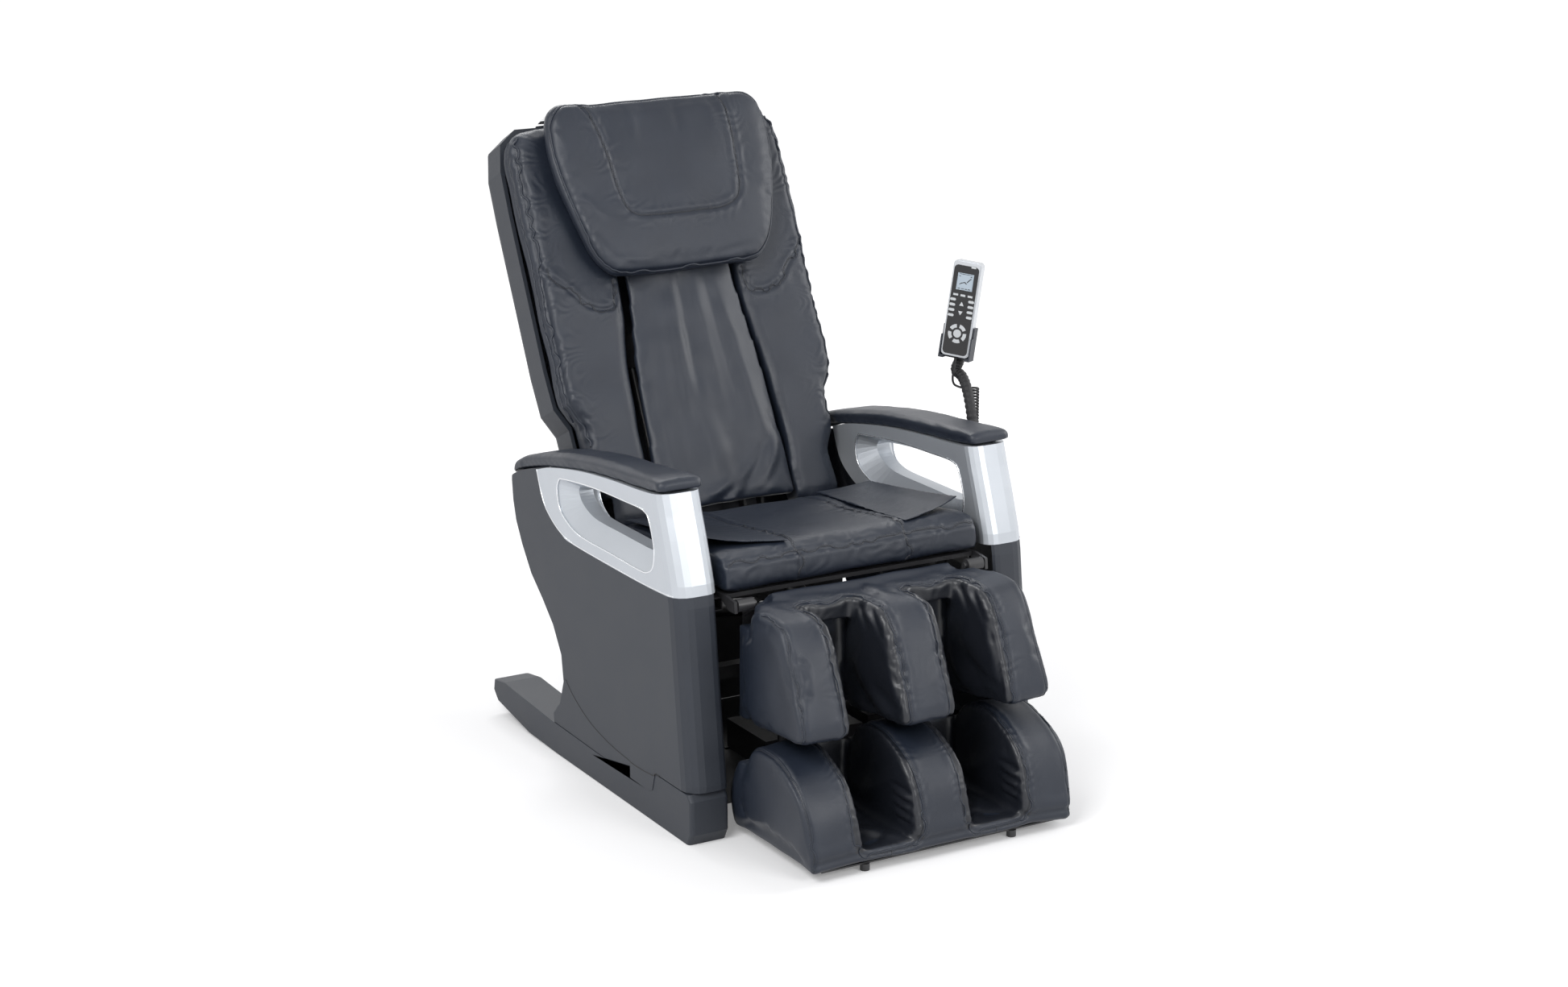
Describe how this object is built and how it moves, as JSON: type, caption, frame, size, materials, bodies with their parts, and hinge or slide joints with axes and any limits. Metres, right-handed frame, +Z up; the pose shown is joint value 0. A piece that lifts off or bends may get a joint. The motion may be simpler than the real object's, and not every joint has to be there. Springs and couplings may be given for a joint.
{
  "type": "massage chair",
  "caption": "Reclining massage chair with roller carriage in the back, lifting calf and foot rest, silver arms and a corded handset.",
  "frame": {"origin": "centre of the four floor bolt holes, on the floor, in the chair's plane of symmetry", "axes": "+X to the sitter's left arm, -Y to the front, +Z up"},
  "size_m": [0.8402, 1.2853, 1.242],
  "materials": {
    "leather": "satin charcoal leather",
    "dark_plastic": "moulded grain",
    "silver_trim": "satin silver",
    "frame_steel": "black powder coat",
    "bright_steel": "turned steel",
    "motor_case": "painted casting",
    "rubber": "moulded rubber",
    "roller_plastic": "moulded roller",
    "cream_plastic": "moulded plastic",
    "handset_case": "silver lacquer",
    "display": "liquid crystal",
    "key_white": "pale key caps",
    "cord_black": "cord sheath",
    "switch_red": "red rocker"
  },
  "bodies": {
    "base": {"base_frame": "frame_steel", "runner_left": "dark_plastic", "runner_right": "dark_plastic", "side_shell_left": "dark_plastic", "side_shell_right": "dark_plastic", "arm_trim_left": "silver_trim", "arm_trim_right": "silver_trim", "arm_pad_left": "leather", "arm_pad_right": "leather", "seat_frame": "frame_steel", "seat_cushion": "leather", "seat_flaps": "leather", "vibration_motor": "motor_case", "control_box": "dark_plastic", "air_pump": "cream_plastic", "power_inlet": "dark_plastic", "handset_stalk": "rubber", "handset_holder": "dark_plastic", "handset_lead": "cord_black", "handset_coil": "cord_black"},
    "wheel_l": {"wheel_left": "rubber"},
    "wheel_r": {"wheel_right": "rubber"},
    "switch": {"power_switch": "switch_red"},
    "back": {"back_frame": "frame_steel", "back_shell": "dark_plastic", "bolster_left": "leather", "bolster_right": "leather", "back_panel": "leather", "head_pillow": "leather", "pillow_flap": "leather", "lift_screw": "bright_steel"},
    "carriage": {"massage_carriage": "motor_case", "lift_motor": "motor_case", "knead_motor": "motor_case"},
    "knead": {"knead_shaft": "bright_steel"},
    "arm_l": {"massage_arm_left": "roller_plastic"},
    "arm_r": {"massage_arm_right": "roller_plastic"},
    "roller_ul": {"roller_upper_left": "roller_plastic"},
    "roller_ll": {"roller_lower_left": "roller_plastic"},
    "roller_ur": {"roller_upper_right": "roller_plastic"},
    "roller_lr": {"roller_lower_right": "roller_plastic"},
    "leg": {"leg_frame": "frame_steel", "calf_cradle": "leather", "calf_bolster_left": "leather", "calf_bolster_centre": "leather", "calf_bolster_right": "leather"},
    "foot": {"foot_frame": "frame_steel", "foot_base": "leather", "foot_bolster_left": "leather", "foot_bolster_centre": "leather", "foot_bolster_right": "leather"},
    "back_cylinder": {"back_actuator": "motor_case"},
    "back_piston": {"back_rod": "bright_steel"},
    "leg_cylinder": {"leg_actuator": "motor_case"},
    "leg_piston": {"leg_rod": "bright_steel"},
    "handset": {"handset_body": "handset_case", "handset_screen": "display"},
    "menu_key_set": {"menu_keys": "key_white"},
    "option_key_set": {"option_keys": "key_white"},
    "ring_key_set": {"ring_keys": "key_white"}
  },
  "joints": [
    {"name": "back_recline", "type": "hinge", "parent": "base", "child": "back", "pos_m": [0, 0.185, 0.4], "axis": [-1, 0, 0], "range_deg": [0, 38]},
    {"name": "leg_lift", "type": "hinge", "parent": "base", "child": "leg", "pos_m": [0, -0.325, 0.436], "axis": [-1, 0, 0], "range_deg": [0, 70]},
    {"name": "foot_extend", "type": "slide", "parent": "leg", "child": "foot", "axis": [0, 0, -1], "range_m": [0, 0.12]},
    {"name": "carriage_travel", "type": "slide", "parent": "back", "child": "carriage", "axis": [0, 0.4384, 0.8988], "range_m": [-0.15, 0.27]},
    {"name": "knead_turn", "type": "hinge", "parent": "carriage", "child": "knead", "pos_m": [0, 0.37293, 0.75338], "axis": [1, 0, 0], "continuous": true},
    {"name": "arm_rock_l", "type": "hinge", "parent": "carriage", "child": "arm_l", "pos_m": [0, 0.37293, 0.75338], "axis": [1, 0, 0], "range_deg": [-9, 9]},
    {"name": "roller_upper_l", "type": "hinge", "parent": "arm_l", "child": "roller_ul", "pos_m": [-0.079, 0.39292, 0.81261], "axis": [1, 0, 0], "continuous": true},
    {"name": "roller_lower_l", "type": "hinge", "parent": "arm_l", "child": "roller_ll", "pos_m": [-0.079, 0.33856, 0.70116], "axis": [1, 0, 0], "continuous": true},
    {"name": "wheel_turn_l", "type": "hinge", "parent": "base", "child": "wheel_l", "pos_m": [-0.248, 0.278, 0.032], "axis": [1, 0, 0], "continuous": true},
    {"name": "arm_rock_r", "type": "hinge", "parent": "carriage", "child": "arm_r", "pos_m": [0, 0.37293, 0.75338], "axis": [1, 0, 0], "range_deg": [-9, 9]},
    {"name": "roller_upper_r", "type": "hinge", "parent": "arm_r", "child": "roller_ur", "pos_m": [0.079, 0.39292, 0.81261], "axis": [1, 0, 0], "continuous": true},
    {"name": "roller_lower_r", "type": "hinge", "parent": "arm_r", "child": "roller_lr", "pos_m": [0.079, 0.33856, 0.70116], "axis": [1, 0, 0], "continuous": true},
    {"name": "wheel_turn_r", "type": "hinge", "parent": "base", "child": "wheel_r", "pos_m": [0.248, 0.278, 0.032], "axis": [1, 0, 0], "continuous": true},
    {"name": "back_cylinder_swing", "type": "hinge", "parent": "base", "child": "back_cylinder", "pos_m": [0.09, -0.123, 0.25], "axis": [1, 0, 0], "range_deg": [-10, 10]},
    {"name": "back_piston_slide", "type": "slide", "parent": "back_cylinder", "child": "back_piston", "axis": [0, 0.9611, 0.2762], "range_m": [-0.05, 0.002]},
    {"name": "leg_cylinder_swing", "type": "hinge", "parent": "base", "child": "leg_cylinder", "pos_m": [-0.09, 0.203, 0.25], "axis": [1, 0, 0], "range_deg": [-10, 10]},
    {"name": "leg_piston_slide", "type": "slide", "parent": "leg_cylinder", "child": "leg_piston", "axis": [0, -0.9547, 0.2977], "range_m": [-0.002, 0.12]},
    {"name": "power_rocker", "type": "hinge", "parent": "base", "child": "switch", "pos_m": [0.208, 0.2475, 0.2895], "axis": [1, 0, 0], "range_deg": [0, 12]},
    {"name": "handset_lift", "type": "slide", "parent": "base", "child": "handset", "axis": [0.146, -0.0201, 0.9891], "range_m": [0, 0.075]},
    {"name": "menu_key_press", "type": "slide", "parent": "handset", "child": "menu_key_set", "axis": [0.7877, 0.6072, -0.104], "range_m": [0, 0.001], "stiffness_N_per_m": 300, "springref_m": -0.0005},
    {"name": "option_key_press", "type": "slide", "parent": "handset", "child": "option_key_set", "axis": [0.7877, 0.6072, -0.104], "range_m": [0, 0.001], "stiffness_N_per_m": 300, "springref_m": -0.0005},
    {"name": "ring_key_press", "type": "slide", "parent": "handset", "child": "ring_key_set", "axis": [0.7877, 0.6072, -0.104], "range_m": [0, 0.001], "stiffness_N_per_m": 300, "springref_m": -0.0005}
  ],
  "couplings": [
    {"joint": "back_cylinder_swing", "follows": "back_recline", "ratio": -0.023},
    {"joint": "back_piston_slide", "follows": "back_recline", "m_per_rad": -0.0625},
    {"joint": "leg_cylinder_swing", "follows": "leg_lift", "ratio": 0.066},
    {"joint": "leg_piston_slide", "follows": "leg_lift", "m_per_rad": 0.04297}
  ]
}
